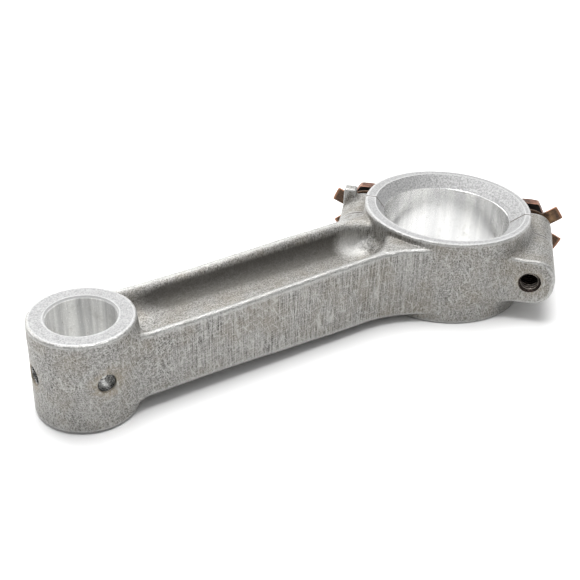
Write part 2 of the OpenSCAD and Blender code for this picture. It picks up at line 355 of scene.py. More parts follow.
# %% Node helpers
def add_node(tree, kind, inputs=None, **settings):
    """A node with its settings and some input values or links."""
    node = tree.nodes.new(kind)
    for key, value in settings.items():
        setattr(node, key, value)
    for key, value in (inputs or {}).items():
        socket = node.inputs[key]
        if isinstance(value, bpy.types.NodeSocket):
            tree.links.new(value, socket)
        else:
            socket.default_value = value
    return node


def calc(tree, operation, a, b=0.0, c=0.0):
    """The result of one sum."""
    return add_node(tree, "ShaderNodeMath", {0: a, 1: b, 2: c}, operation=operation).outputs[0]


def ramp(tree, value, low, high, to_low=0.0, to_high=1.0):
    """Stretches a value from one range to another, and holds it there."""
    return add_node(tree, "ShaderNodeMapRange", {
        "Value": value, "From Min": low, "From Max": high,
        "To Min": to_low, "To Max": to_high}).outputs[0]


def times(tree, a, b):
    """One value times another."""
    return calc(tree, "MULTIPLY", a, b)


def vector(tree, x=0.0, y=0.0, z=0.0):
    """A vector from three numbers."""
    return add_node(tree, "ShaderNodeCombineXYZ", {"X": x, "Y": y, "Z": z}).outputs[0]


def threaded_rod_tree():
    """Geometry Nodes: a tube along +Z from 0 to Length, with a thread cut into it."""
    tree = bpy.data.node_groups.new("threaded_rod", "GeometryNodeTree")
    face = tree.interface
    for name in ("Radius", "Length", "Pitch", "Depth", "Thread From", "Thread To", "Point"):
        face.new_socket(name=name, in_out="INPUT", socket_type="NodeSocketFloat")
    for name in ("Rows", "Sides"):
        face.new_socket(name=name, in_out="INPUT", socket_type="NodeSocketInt")
    face.new_socket(name="Material", in_out="INPUT", socket_type="NodeSocketMaterial")
    face.new_socket(name="Geometry", in_out="OUTPUT", socket_type="NodeSocketGeometry")
    enter = add_node(tree, "NodeGroupInput").outputs
    tube = add_node(tree, "GeometryNodeMeshCylinder", {
        "Vertices": enter["Sides"], "Side Segments": enter["Rows"],
        "Radius": enter["Radius"], "Depth": enter["Length"]}, fill_type="TRIANGLE_FAN")
    lift = vector(tree, z=times(tree, enter["Length"], 0.5))
    raised = add_node(tree, "GeometryNodeSetPosition",
                      {"Geometry": tube.outputs["Mesh"], "Offset": lift})
    place = add_node(tree, "GeometryNodeInputPosition").outputs[0]
    xyz = add_node(tree, "ShaderNodeSeparateXYZ", {0: place}).outputs
    angle = calc(tree, "DIVIDE", calc(tree, "ARCTAN2", xyz["Y"], xyz["X"]), 2 * math.pi)
    turns = calc(tree, "SUBTRACT", calc(tree, "DIVIDE", xyz["Z"], enter["Pitch"]), angle)
    wave = calc(tree, "PINGPONG", turns, 0.5)
    groove = calc(tree, "SUBTRACT", 1.0, times(tree, wave, 2.6))
    groove = add_node(tree, "ShaderNodeClamp", {0: groove}).outputs[0]
    fade = 0.8 * MM
    begin = ramp(tree, xyz["Z"], enter["Thread From"], calc(tree, "ADD", enter["Thread From"], fade))
    stop = ramp(tree, xyz["Z"], calc(tree, "SUBTRACT", enter["Thread To"], fade),
                enter["Thread To"], 1.0, 0.0)
    depth = times(tree, enter["Depth"], times(tree, begin, stop))
    sink = times(tree, groove, depth)
    tip = ramp(tree, xyz["Z"], 0.0, enter["Point"], enter["Point"], 0.0)
    level = calc(tree, "DIVIDE", calc(tree, "ADD", sink, tip), enter["Radius"])
    flat = vector(tree, xyz["X"], xyz["Y"])
    inward = add_node(tree, "ShaderNodeVectorMath", {0: flat, 3: times(tree, level, -1.0)},
                      operation="SCALE").outputs[0]
    cut = add_node(tree, "GeometryNodeSetPosition",
                   {"Geometry": raised.outputs[0], "Offset": inward})
    real = add_node(tree, "GeometryNodeRealizeInstances", {0: cut.outputs[0]})
    dressed = add_node(tree, "GeometryNodeSetMaterial",
                       {"Geometry": real.outputs[0], "Material": enter["Material"]})
    add_node(tree, "NodeGroupOutput", {0: dressed.outputs[0]})
    return tree


def baked(obj):
    """Replaces an object's mesh with what its modifiers make, and drops the modifiers."""
    graph = bpy.context.evaluated_depsgraph_get()
    mesh = bpy.data.meshes.new_from_object(obj.evaluated_get(graph))
    obj.modifiers.clear()
    old = obj.data
    obj.data = mesh
    bpy.data.meshes.remove(old)


THREAD_TREE = threaded_rod_tree()


def threaded_rod(name, **values):
    """A threaded rod as a plain mesh. Lengths are in millimetres."""
    obj = mesh_object(name, np.zeros((0, 3)), [])
    modifier = obj.modifiers.new("thread", "NODES")
    modifier.node_group = THREAD_TREE
    for item in THREAD_TREE.interface.items_tree:
        if item.in_out == "INPUT" and item.name in values:
            value = values[item.name]
            scale = 1 if isinstance(value, int) else MM
            modifier[item.identifier] = value * scale
    baked(obj)
    print(name, "has", len(obj.data.polygons), "faces")
    return obj


# %% [markdown]
# The bores, oil holes and thread were cut after casting, so they are cut here too: crisp
# cutters are taken out of the soft casting. A cutter is a profile spun about Z and then
# laid along its own axis.

# %% Cutters
def circle(r, h, sides):
    """A loop of points about Z. The radius may change from point to point."""
    turn = np.arange(sides) * 2 * math.pi / sides
    return np.stack([r * np.cos(turn), r * np.sin(turn), h + 0 * turn], axis=1)


def looped(name, loops, closed=False):
    """A mesh from loops of points, each joined to the next. Its two ends meet or are capped."""
    sides, rows = len(loops[0]), len(loops)
    points = [tuple(p) for loop in loops for p in loop]
    faces = []
    for row in range(rows if closed else rows - 1):
        a, b = row * sides, (row + 1) % rows * sides
        for n in range(sides):
            m = (n + 1) % sides
            faces.append((a + n, a + m, b + m, b + n))
    if not closed:
        for row, flip in ((0, -1), (rows - 1, 1)):
            middle = len(points)
            points.append(tuple(np.mean(loops[row], axis=0)))
            for n in range(sides):
                pair = (row * sides + n, row * sides + (n + 1) % sides)
                faces.append((middle, *pair[::flip]))
    return mesh_object(name, points, faces)


def spun(name, profile, sides=192):
    """A closed solid from a profile of (radius, height) pairs, spun about Z."""
    return looped(name, [circle(r, h, sides) for r, h in profile])


def laid(obj, u, v, back=False):
    """Turns a solid made along +Z to run along U, or back along U, and moves it."""
    axis = Vector((COS45, COS45, 0)) * (-1 if back else 1)
    x, y = unturned(u, v)
    turn = axis.to_track_quat("Z", "Y").to_matrix().to_4x4()
    obj.data.transform(Matrix.Translation((x * MM, y * MM, 0)) @ turn)
    return obj


def carve(obj, cutters, operation="DIFFERENCE"):
    """Takes each cutter out of the object, or adds it, then removes the cutters."""
    for cutter in cutters:
        modifier = obj.modifiers.new("cut", "BOOLEAN")
        modifier.operation, modifier.object = operation, cutter
        modifier.solver = "MANIFOLD"
        baked(obj)
        bpy.data.objects.remove(cutter)
    print(obj.name, "after cutting:", len(obj.data.polygons), "faces")


MOUTH_SHIFT = (0.55, -0.4)


def crank_cutter():
    """The crankpin bore with its two cast mouths, which sit a little off centre."""
    over = 3.0
    slope = (MOUTH_R - CRANK_R) / MOUTH_H
    wide = MOUTH_R + slope * over
    obj = spun("crank_cutter", [(wide, -BIG_HZ - over), (CRANK_R + 0.15, MOUTH_H - BIG_HZ),
                                (CRANK_R, MOUTH_H - BIG_HZ + 0.15),
                                (CRANK_R, BIG_HZ - MOUTH_H - 0.15),
                                (CRANK_R + 0.15, BIG_HZ - MOUTH_H), (wide, BIG_HZ + over)], 256)
    for p in obj.data.vertices:
        if abs(p.co.z) > BIG_HZ * MM:
            grow = (MOUTH_H + over) / MOUTH_H
            p.co.x += MOUTH_SHIFT[0] * grow * MM
            p.co.y += MOUTH_SHIFT[1] * grow * MM
    return obj


def pin_cutter():
    """The piston pin bore with a bevel at each mouth."""
    over, bevel, deep = 2.0, 0.4, 0.6
    far, slope = SMALL_HZ + over, bevel / deep
    rows = [(PIN_R + slope * (deep + over), -far), (PIN_R + 0.12, 0.9 * deep - SMALL_HZ),
            (PIN_R, 1.15 * deep - SMALL_HZ), (PIN_R, SMALL_HZ - 1.15 * deep),
            (PIN_R + 0.12, SMALL_HZ - 0.9 * deep), (PIN_R + slope * (deep + over), far)]
    obj = spun("pin_cutter", rows, 192)
    obj.data.transform(Matrix.Translation((-ROD_L * MM, 0, 0)))
    return obj


def oil_cutter(radius, direction, z):
    """A drilled oil hole with a softened lip, from the pin bore outwards."""
    lip = 0.55
    rows = [(radius, 0.0), (radius, SMALL_R - lip - 0.35), (radius + 0.1, SMALL_R - lip),
            (radius + lip, SMALL_R + 0.1), (radius + lip + 1.2, SMALL_R + 1.5)]
    obj = spun("oil_cutter", rows, 64)
    turn = Vector(direction).to_track_quat("Z", "Y").to_matrix().to_4x4()
    obj.data.transform(Matrix.Translation((-ROD_L * MM, 0, z * MM)) @ turn)
    return obj


def thread_cutter(v, u0, u1, radius, depth):
    """A tapped length of hole between u0 and u1. Radius is at the bottom of its thread."""
    obj = threaded_rod("thread_cutter", Radius=radius, Length=u1 - u0, Pitch=PITCH, Depth=depth,
                       Point=0.0, Rows=int((u1 - u0) / 0.12), Sides=80,
                       **{"Thread From": -5.0, "Thread To": u1 - u0 + 5.0})
    return laid(obj, u0, v)


def half_space(side):
    """A block that covers everything past the cap joint, on the side given."""
    size = 120.0
    near = -side * SPLIT_GAP / 2
    points = [unturned(near + a * side * size, b * size) + (c * size,)
              for a in (0, 1) for b in (-1, 1) for c in (-1, 1)]
    faces = [(0, 1, 3, 2), (4, 6, 7, 5), (0, 4, 5, 1), (2, 3, 7, 6), (0, 2, 6, 4), (1, 5, 7, 3)]
    if side < 0:
        faces = [face[::-1] for face in faces]
    return mesh_object("joint_cutter", points, faces)


def bevel_cutter(u, v, radius, depth, back):
    """A short cone that breaks the edge of a hole."""
    obj = spun("bevel_cutter", [(radius - 0.3, -0.3 - depth), (radius + depth + 0.6, 0.6)], 96)
    return laid(obj, u, v, back=back)


carve(rod, [half_space(1), crank_cutter(), pin_cutter(),
            oil_cutter(FRONT_OIL_R, (0, -1, 0), FRONT_OIL_Z), oil_cutter(END_OIL_R, (-1, 0, 0), 0.0),
            thread_cutter(-BOLT_V, -BOSS_ROD_L - 1.0, TRUE_THREAD_U, HOLE_R + 0.06, THREAD_DEPTH),
            thread_cutter(-BOLT_V, TRUE_THREAD_U - 0.3, 1.5, HOLE_R + 0.35, 0.35),
            thread_cutter(BOLT_V, -FAR_THREAD_L, 1.5, HOLE_R + 0.35, 0.35),
            bevel_cutter(-BOSS_ROD_L, -BOLT_V, HOLE_R, 0.35, True)])


def clearance_cutter(v):
    """The plain bolt hole through one boss of the cap, with its edge broken."""
    wide, edge = BOLT_R + 0.3, 0.3
    rows = [(wide, -3.0), (wide, BOSS_CAP_L - edge), (wide + 2 * edge, BOSS_CAP_L + edge),
            (wide + 2 * edge + 0.7, BOSS_CAP_L + 1.0)]
    return laid(spun("clearance_cutter", rows, 96), 0.0, v)


def seat_cutter(v):
    """The flat seat round one bolt hole, which is cut a little way into the ring."""
    rows = [(SEAT_R, BOSS_CAP_L), (SEAT_R, BOSS_CAP_L + 15.0)]
    return laid(spun("seat_cutter", rows, 96), 0.0, v)


carve(cap, [half_space(-1), crank_cutter(), clearance_cutter(-BOLT_V), clearance_cutter(BOLT_V),
            seat_cutter(-BOLT_V), seat_cutter(BOLT_V)])

# %% [markdown]
# Each bolt is a hexagon set screw, headed from bar and then rolled to give its thread. The
# head's corners were broken by a shallow cone, so its flats end in curved edges. The plain
# part of the shank is as thick as the thread.

# %% Bolts
def bolt(name, head_u, v):
    """A bolt with its head's underside at head_u."""
    sides = 192
    turn = np.arange(sides) * 2 * math.pi / sides
    flat = HEAD_AF / 2
    hexagon = flat / np.cos(turn % (math.pi / 3) - math.pi / 6)
    corner = flat / math.cos(math.pi / 6)
    hexagon = soft_min(hexagon, np.full(sides, corner - 0.1), 0.35)
    heights = [0.0, 0.05, 0.15, 0.3, 1.2, 2.2, 3.0, 3.2, 3.35, 3.5, 3.65, 3.78, 3.88, 3.95, 4.0]
    loops = [circle(3.6, 0.0, sides)]
    for h in heights:
        cone = np.full(sides, corner - 2.0 * (h - HEAD_H + 0.72))
        low = 0.3 * max(0.0, 1 - h / 0.3) ** 2
        high = 0.35 * max(0.0, (h - 3.75) / 0.25) ** 2
        loops.append(circle(soft_min(hexagon, cone, 0.12) - low - high, h, sides))
    loops += [circle(4.2, HEAD_H, sides), circle(3.9, HEAD_H - 0.1, sides)]
    loops += [circle(1.0, HEAD_H - 0.12, sides)]
    head = looped(name, [loop + np.array([0, 0, BOLT_L]) for loop in loops])
    rows = int((BOLT_L + 0.4) / 0.09)
    shank = threaded_rod("shank", Radius=BOLT_R, Length=BOLT_L + 0.4, Pitch=PITCH,
                         Depth=THREAD_DEPTH, Point=0.8, Rows=rows, Sides=96,
                         **{"Thread From": -5.0, "Thread To": 20.0})
    carve(head, [shank], "UNION")
    return laid(head, head_u - BOLT_L, v)


near_bolt = bolt("bolt_near_piece", NEAR_HEAD_U, -BOLT_V)
far_bolt = bolt("bolt_far_piece", FAR_HEAD_U, BOLT_V)

# %% [markdown]
# A lock plate is stamped from thin sheet and slipped under the bolt's head. When the bolt is
# tight, one ear is bent down beside the cap and the other is bent up against a flat of the
# head. These two are as new: their ears are nearly straight, with the stamping's soft edge.

# %% Lock plates
PLATE_R, EAR_REACH, EAR_HALF, EAR_SPREAD = 7.0, 12.2, 2.4, 30.0
PLATE_SIDES = 720
# A plate is 20 loops of points. These say which carry the ears' painted edge highlight and
# which lie near the edge, where the plate is darker.
PLATE_EDGE_HIGHLIGHT = [0] * 6 + [0.6] + [1] * 4 + [0.6] + [0] * 8
PLATE_BORDER = [0] * 5 + [0.8, 1, 1, 1, 1, 1, 1, 0.8] + [0] * 7


def plate_outline(turn, middle):
    """The reach of a plate at each angle: a round middle and two ears with square ends."""
    reach = np.full(len(turn), PLATE_R)
    for side in (-1, 1):
        away = (turn - math.radians(middle + side * EAR_SPREAD) + math.pi) % (2 * math.pi) - math.pi
        ahead = np.maximum(np.cos(away), 1e-3)
        bar = np.minimum(EAR_REACH / ahead, EAR_HALF / np.maximum(np.abs(np.sin(away)), 1e-3))
        corner = math.hypot(EAR_REACH, EAR_HALF) - 0.12
        reach = np.maximum(reach, soft_min(bar, np.full(len(turn), corner), 0.25) * (ahead > 0.01))
    return reach


def lock_plate(name, u, v, middle, bends):
    """A lock plate whose ears point round the angle called middle, measured from V to Z."""
    sides = PLATE_SIDES
    turn = np.arange(sides) * 2 * math.pi / sides
    out = plate_outline(turn, middle)
    hole, soft = BOLT_R + 0.32, 0.16
    shares = np.linspace(0, 1, 7)
    under = [circle(hole + soft + (out - hole - 2 * soft) * t, 0.0, sides) for t in shares]
    rim = [circle(out - 0.05, 0.06, sides), circle(out, soft, sides),
           circle(out, PLATE_T - soft, sides), circle(out - 0.05, PLATE_T - 0.06, sides)]
    over = [loop * (1, 1, 0) + (0, 0, PLATE_T) for loop in under[::-1]]
    inner = [circle(hole, PLATE_T - soft, sides), circle(hole, soft, sides)]
    loops = under + rim + over + inner
    for loop in loops:
        r = np.hypot(loop[:, 0], loop[:, 1])
        side = np.sin(turn - math.radians(middle))
        lift = np.where(side > 0, bends[0], bends[1]) * np.clip((r - 6.5) / 5.5, 0, 1) ** 2
        loop[:, 2] += lift * np.clip(np.abs(side) * 3, 0, 1)
    return laid(looped(name, loops, closed=True), u, v)


near_plate = lock_plate("plate_near_piece", NEAR_PLATE_U, -BOLT_V, 174.0, (-0.35, 0.3))
far_plate = lock_plate("plate_far_piece", FAR_PLATE_U, BOLT_V, -8.0, (0.3, -0.3))

# %% [markdown]
# Wear and light are not the same all over. Corners are rubbed and also painted bright as
# highlights, and hollows get painted shade. The field knows where both are. Its mean over a
# small star of points, less its value at the middle, is how sharply the skin bends outwards.
# A point just above the skin in a hollow is close to metal, so it gets painted shade.

# %% Wear, painted highlight and painted shade
def bore_field(x, y, z):
    """Distance outside the crankpin bore and its mouths."""
    slope = (MOUTH_R - CRANK_R) / MOUTH_H
    deep = np.maximum(np.abs(z) - BIG_HZ + MOUTH_H, 0.0)
    share = deep / MOUTH_H
    r = np.hypot(x - MOUTH_SHIFT[0] * share, y - MOUTH_SHIFT[1] * share)
    return r - CRANK_R - slope * deep


def rod_solid(x, y, z):
    """The finished rod, with its bores cut and its ring split."""
    u, _ = turned(x, y)
    solid = np.maximum(rod_field(x, y, z), -bore_field(x, y, z))
    solid = np.maximum(solid, PIN_R - np.hypot(x + ROD_L, y))
    return np.maximum(solid, u + SPLIT_GAP / 2)


def cap_solid(x, y, z):
    """The finished cap."""
    u, _ = turned(x, y)
    return np.maximum(np.maximum(cap_field(x, y, z), -bore_field(x, y, z)), SPLIT_GAP / 2 - u)


def read(items, key):
    """A vector for each point or face of a mesh, one to a row."""
    values = np.empty(3 * len(items))
    items.foreach_get(key, values)
    return values.reshape(-1, 3)


def store(obj, name, values):
    """A number for every point, for the materials to read."""
    layer = obj.data.attributes.new(name, "FLOAT", "POINT")
    layer.data.foreach_set("value", np.asarray(values, np.float32))


# Stains lie round the oil holes and the near bolt hole, each with its reach.
SPOTS = [((-ROD_L, -SMALL_R, FRONT_OIL_Z), 6.5), ((-ROD_L - SMALL_R, 0.0, 0.0), 6.0),
         ((*unturned(-BOSS_ROD_L, -BOLT_V), 0.0), 6.0)]
# A painted pool of light lies on the corner at the channel's far end.
PAINTED_LIGHT_SPOT, PAINTED_LIGHT_REACH = (-33.0, 9.0, 4.0), 9.0


def faded(value, zero, one):
    """A share that is 0 at one value and 1 at another."""
    return np.clip((value - zero) / (one - zero), 0, 1)


def sharpness(solid, p, reach):
    """How sharply the skin bends outwards, in radians per millimetre."""
    total = -6 * solid(*p.T)
    for axis in range(3):
        for side in (-reach, reach):
            star = p.copy()
            star[:, axis] += side
            total += solid(*star.T)
    return total / reach ** 2


def mark(obj, solid):
    """Stores edges (handled, with painted highlight), painted shade, painted light, stains and the
    joint.
    """
    p = read(obj.data.vertices, "co") / MM
    n = read(obj.data.vertex_normals, "vector")
    x, y, z = p.T
    u, v = turned(x, y)
    # Sharp outer edges: rubbed wear, and also where a painted highlight goes.
    wear_and_highlight = np.maximum(faded(sharpness(solid, p, 0.5), 0.2, 1.0),
                      0.6 * faded(sharpness(solid, p, 1.4), 0.2, 0.7))
    r = np.hypot(np.abs(v) - BOLT_V, z)
    drilled = (r < HOLE_R + 0.5) & (u > -BOSS_ROD_L + 0.05) & (u < BOSS_CAP_L - 0.05)
    crest = np.where(u < TRUE_THREAD_U, HOLE_R - 0.2, HOLE_R + 0.15)
    store(obj, "wear_and_highlight", np.where(drilled, faded(r, crest, crest - 0.15), wear_and_highlight))
    # An occlusion estimate: how close metal is just above the skin. It drives painted shade.
    hollow = sum(faded(solid(*(p + n * reach).T), reach, 0.0) / 3 for reach in (1.2, 3.0, 6.0))
    store(obj, "hollow", hollow)
    # Painted shade on the channel's steep walls, strongest on the far wall (y > 0).
    trough = faded(np.abs(channel_field(x, y, z)), 1.2, 0.0) * faded(np.abs(z), 10.6, 7.6)
    trough *= faded(x, -26.0, -38.0) * faded(x, -113.0, -101.0)
    steep = np.clip(1 - np.abs(n[:, 2]) + 0.07 * np.maximum(y, 0), 0, 1)
    store(obj, "trough", trough * steep)
    folded = np.stack([x, y, np.abs(z)], axis=1)
    # A painted pool of light on the corner at the channel's far end.
    store(obj, "painted_light", eased(1 - np.linalg.norm(folded - PAINTED_LIGHT_SPOT, axis=1) / PAINTED_LIGHT_REACH))
    store(obj, "smear", np.max([faded(np.linalg.norm(p - spot, axis=1), reach, 0.0)
                                for spot, reach in SPOTS], axis=0))
    store(obj, "joint", faded(np.abs(u), SPLIT_GAP / 2 + 0.25, SPLIT_GAP / 2))
    print(obj.name, "wear_and_highlight", round(float(wear_and_highlight.mean()), 3), "hollow", round(hollow.mean(), 3))


mark(rod, rod_solid)
mark(cap, cap_solid)

# %% [markdown]
# Shader node groups hold each effect once: grain, lines, scratches and stains. They read a
# position in millimetres and give back plain numbers. The materials below mix them.

# %% Shader groups
def shader_group(name, inputs, outputs):
    """An empty shader group with its sockets, and its inner input and output nodes."""
    tree = bpy.data.node_groups.new(name, "ShaderNodeTree")
    for label, value in inputs.items():
        kind = "NodeSocketVector" if value is None else "NodeSocketFloat"
        socket = tree.interface.new_socket(name=label, in_out="INPUT", socket_type=kind)
        if value is not None:
            socket.default_value = value
    for label in outputs:
        tree.interface.new_socket(name=label, in_out="OUTPUT", socket_type="NodeSocketFloat")
    return tree, add_node(tree, "NodeGroupInput").outputs, add_node(tree, "NodeGroupOutput")


def noise(tree, place, scale, detail, roughness=0.55):
    """Soft random cloud from 0 to 1."""
    return add_node(tree, "ShaderNodeTexNoise", {
        "Vector": place, "Scale": scale, "Detail": detail, "Roughness": roughness}).outputs[0]


def stretched(tree, place, x, y, z, turn=None):
    """A position turned about Y and then scaled along each axis."""
    if turn is not None:
        place = add_node(tree, "ShaderNodeVectorRotate", {"Vector": place, "Angle": turn},
                         rotation_type="Y_AXIS").outputs[0]
    return add_node(tree, "ShaderNodeVectorMath", {0: place, 1: vector(tree, x, y, z)},
                    operation="MULTIPLY").outputs[0]


def grain_group():
    """Sand-cast grain: small bright peaks among dark pits."""
    tree, enter, leave = shader_group("cast_grain", {"Position": None, "Size": 0.7},
                                      ("Tone", "Height"))
    scale = calc(tree, "DIVIDE", 1.0, enter["Size"])
    coarse = noise(tree, enter["Position"], scale, 6.0, 0.68)
    cells = add_node(tree, "ShaderNodeTexVoronoi", {
        "Vector": enter["Position"], "Scale": times(tree, scale, 1.7)}).outputs[0]
    peaks = ramp(tree, cells, 0.0, 0.62, 1.0, 0.0)
    tone = times(tree, ramp(tree, coarse, 0.4, 0.62), 0.7)
    tree.links.new(calc(tree, "ADD", tone, times(tree, peaks, 0.3)), leave.inputs["Tone"])
    height = calc(tree, "ADD", times(tree, coarse, 0.8), times(tree, peaks, 0.3))
    tree.links.new(height, leave.inputs["Height"])
    return tree


def lines_group():
    """Fine parallel lines along Z, as a linishing belt leaves them."""
    tree, enter, leave = shader_group("parallel_lines", {"Position": None, "Across": 3.0,
                                                         "Along": 0.12}, ("Lines",))
    place = stretched(tree, enter["Position"], enter["Across"], enter["Across"], enter["Along"])
    lines = ramp(tree, noise(tree, place, 1.0, 4.0, 0.65), 0.38, 0.62)
    tree.links.new(lines, leave.inputs["Lines"])
    return tree


def scratch_group():
    """Thin scattered scratches that run one way."""
    tree, enter, leave = shader_group("scratches", {"Position": None, "Turn": 0.5, "Size": 3.0,
                                                    "Width": 0.03, "Cover": 0.4}, ("Mask",))
    scale = calc(tree, "DIVIDE", 1.0, enter["Size"])
    long = times(tree, scale, 0.14)
    place = stretched(tree, enter["Position"], long, scale, scale, enter["Turn"])
    edge = add_node(tree, "ShaderNodeTexVoronoi", {"Vector": place, "Scale": 1.0},
                    feature="DISTANCE_TO_EDGE").outputs[0]
    thin = calc(tree, "SUBTRACT", 1.0, calc(tree, "DIVIDE", edge, enter["Width"]))
    thin = add_node(tree, "ShaderNodeClamp", {0: thin}).outputs[0]
    where = noise(tree, enter["Position"], times(tree, scale, 0.6), 2.0)
    high = calc(tree, "SUBTRACT", 0.85, times(tree, enter["Cover"], 0.5))
    low = calc(tree, "SUBTRACT", high, 0.08)
    tree.links.new(times(tree, thin, ramp(tree, where, low, high)), leave.inputs["Mask"])
    return tree


def stain_group():
    """Patches with a ragged edge."""
    tree, enter, leave = shader_group("stains", {"Position": None, "Size": 12.0, "Cover": 0.4,
                                                 "Softness": 0.1}, ("Mask",))
    cloud = noise(tree, enter["Position"], calc(tree, "DIVIDE", 1.0, enter["Size"]), 6.0, 0.6)
    middle = calc(tree, "SUBTRACT", 0.75, times(tree, enter["Cover"], 0.5))
    low = calc(tree, "SUBTRACT", middle, enter["Softness"])
    high = calc(tree, "ADD", middle, enter["Softness"])
    tree.links.new(ramp(tree, cloud, low, high), leave.inputs["Mask"])
    return tree


GRAIN, LINES, SCRATCHES, STAINS = grain_group(), lines_group(), scratch_group(), stain_group()


def use(tree, effect, place, output=0, **inputs):
    """One effect's result inside a material."""
    node = add_node(tree, "ShaderNodeGroup", node_tree=effect)
    tree.links.new(place, node.inputs["Position"])
    for key, value in inputs.items():
        node.inputs[key].default_value = value
    return node.outputs[output]


def mixed(tree, share, a, b):
    """A colour between a and b, each a colour or a link."""
    a, b = ((*value, 1.0) if isinstance(value, tuple) else value for value in (a, b))
    return add_node(tree, "ShaderNodeMix", {0: share, 6: a, 7: b}, data_type="RGBA").outputs[2]


def tinted(tree, colour, share, strength, tint):
    """A colour with a tint laid over it where share is high."""
    return mixed(tree, times(tree, share, strength), colour, tint)


def finish(name, metallic, roughness):
    """A new material: its tree, its shader, and the position in millimetres."""
    material = bpy.data.materials.new(name)
    material.use_nodes = True
    tree = material.node_tree
    shader = tree.nodes["Principled BSDF"]
    shader.inputs["Metallic"].default_value = metallic
    shader.inputs["Roughness"].default_value = roughness
    here = add_node(tree, "ShaderNodeTexCoord").outputs["Object"]
    place = add_node(tree, "ShaderNodeVectorMath", {0: here, 3: 1 / MM}, operation="SCALE").outputs[0]
    return material, tree, shader, place


def dress(tree, shader, colour, roughness, height, depth):
    """Links colour, roughness and bump to the shader. Depth is in millimetres."""
    tree.links.new(colour, shader.inputs["Base Color"])
    tree.links.new(roughness, shader.inputs["Roughness"])
    bump = add_node(tree, "ShaderNodeBump", {"Height": height, "Distance": depth * MM,
                                             "Strength": 1.0})
    tree.links.new(bump.outputs[0], shader.inputs["Normal"])


def attribute(tree, name):
    """A number stored on the mesh."""
    return add_node(tree, "ShaderNodeAttribute", attribute_name=name).outputs["Fac"]


# %% [markdown]
# The cast skin is plain aluminium as it left the sand, rubbed down on a belt along the
# beam's sides. Handling has left light scratches, brown stains and bright corners, which are
# also painted as highlights. Hollows and the channel walls get painted shade, and the
# channel's far corner gets a painted pool of light.

# %% Cast skin
JOINT_DARK = (0.12, 0.10, 0.09)


def cast_skin():
    """Sand-cast aluminium, lined along the beam, with painted shade, painted light and highlighted
    edges.
    """
    material, tree, shader, place = finish("cast_skin", 0.7, 0.5)
    tone = use(tree, GRAIN, place, "Tone", Size=0.44)
    height = use(tree, GRAIN, place, "Height", Size=0.44)
    lines = use(tree, LINES, place, Across=2.4, Along=0.08)
    x = add_node(tree, "ShaderNodeSeparateXYZ", {0: place}).outputs["X"]
    beam = times(tree, ramp(tree, x, -112.0, -100.0), ramp(tree, x, -30.0, -18.0, 1.0, 0.0))
    lined = calc(tree, "ADD", times(tree, beam, 0.38), 0.15)
    level = add_node(tree, "ShaderNodeMix", {0: lined, 2: tone, 3: lines}).outputs[0]
    bite = ramp(tree, noise(tree, place, 0.09, 3.0), 0.35, 0.65, 0.75, 1.15)
    level = add_node(tree, "ShaderNodeMix", {0: bite, 2: 0.5, 3: level}).outputs[0]
    colour = mixed(tree, level, (0.035, 0.032, 0.028), (0.60, 0.59, 0.565))
    stain = use(tree, STAINS, place, Size=9.0, Cover=0.42, Softness=0.12)
    colour = tinted(tree, colour, stain, 0.36, (0.21, 0.175, 0.12))
    hollow = attribute(tree, "hollow")
    trough = attribute(tree, "trough")
    # Painted shade: darker in hollows and on the steep channel walls, less under the painted light.
    painted_shade = ramp(tree, hollow, 0.15, 0.9, 0.0, 0.55)
    painted_shade = calc(tree, "MAXIMUM", painted_shade, ramp(tree, trough, 0.12, 0.6, 0.0, 0.92))
    painted_light = attribute(tree, "painted_light")
    painted_shade = times(tree, painted_shade, ramp(tree, painted_light, 0.0, 0.5, 1.0, 0.1))
    colour = mixed(tree, painted_shade, colour, (0.085, 0.08, 0.072))
    # The painted pool of light at the channel's far end.
    colour = mixed(tree, ramp(tree, painted_light, 0.05, 0.7, 0.0, 0.6), colour, (0.6, 0.6, 0.59))
    pits = use(tree, STAINS, place, Size=1.0, Cover=0.1, Softness=0.02)
    colour = tinted(tree, colour, pits, 0.6, (0.05, 0.045, 0.04))
    rust = use(tree, STAINS, place, Size=2.5, Cover=0.6, Softness=0.15)
    rust = times(tree, attribute(tree, "smear"), rust)
    colour = mixed(tree, ramp(tree, rust, 0.05, 0.4, 0.0, 0.5), colour, (0.28, 0.23, 0.16))
    marks = 0.0
    for turn, size, width, cover in ((0.5, 3.2, 0.02, 0.25), (-0.9, 4.1, 0.02, 0.25),
                                     (1.9, 1.1, 0.07, 0.75), (0.2, 0.9, 0.07, 0.75)):
        scratch = use(tree, SCRATCHES, place, Turn=turn, Size=size, Width=width, Cover=cover)
        marks = calc(tree, "MAXIMUM", marks, scratch)
    marks = times(tree, marks, ramp(tree, hollow, 0.1, 0.4, 1.0, 0.15))
    marks = times(tree, marks, ramp(tree, trough, 0.0, 0.25, 1.0, 0.1))
    colour = tinted(tree, colour, marks, 0.5, (0.62, 0.62, 0.60))
    # Edges: rubbed bright, and also painted bright as highlights.
    worn_and_highlit = ramp(tree, attribute(tree, "wear_and_highlight"), 0.12, 0.5)
    worn_and_highlit = times(tree, worn_and_highlit, ramp(tree, tone, 0.0, 0.6, 0.45, 1.0))
    colour = tinted(tree, colour, worn_and_highlit, 0.75, (0.48, 0.48, 0.47))
    colour = mixed(tree, attribute(tree, "joint"), colour, JOINT_DARK)
    rough = ramp(tree, worn_and_highlit, 0.0, 1.0, 0.52, 0.28)
    bump = calc(tree, "ADD", times(tree, height, 0.8), times(tree, lines, 0.25))
    bump = calc(tree, "SUBTRACT", bump, times(tree, marks, 0.4))
    dress(tree, shader, colour, rough, bump, 0.12)
    return material


CAST_SKIN = cast_skin()

# %% [markdown]
# The rims were faced on a lathe and then handled, so they are pale with a fine dull bite.
# The bores were bored and honed: they are the brightest metal, with painted reflections as
# soft bands along Z. Each face of a casting gets its finish from where it lies, because every
# cut has its own place.

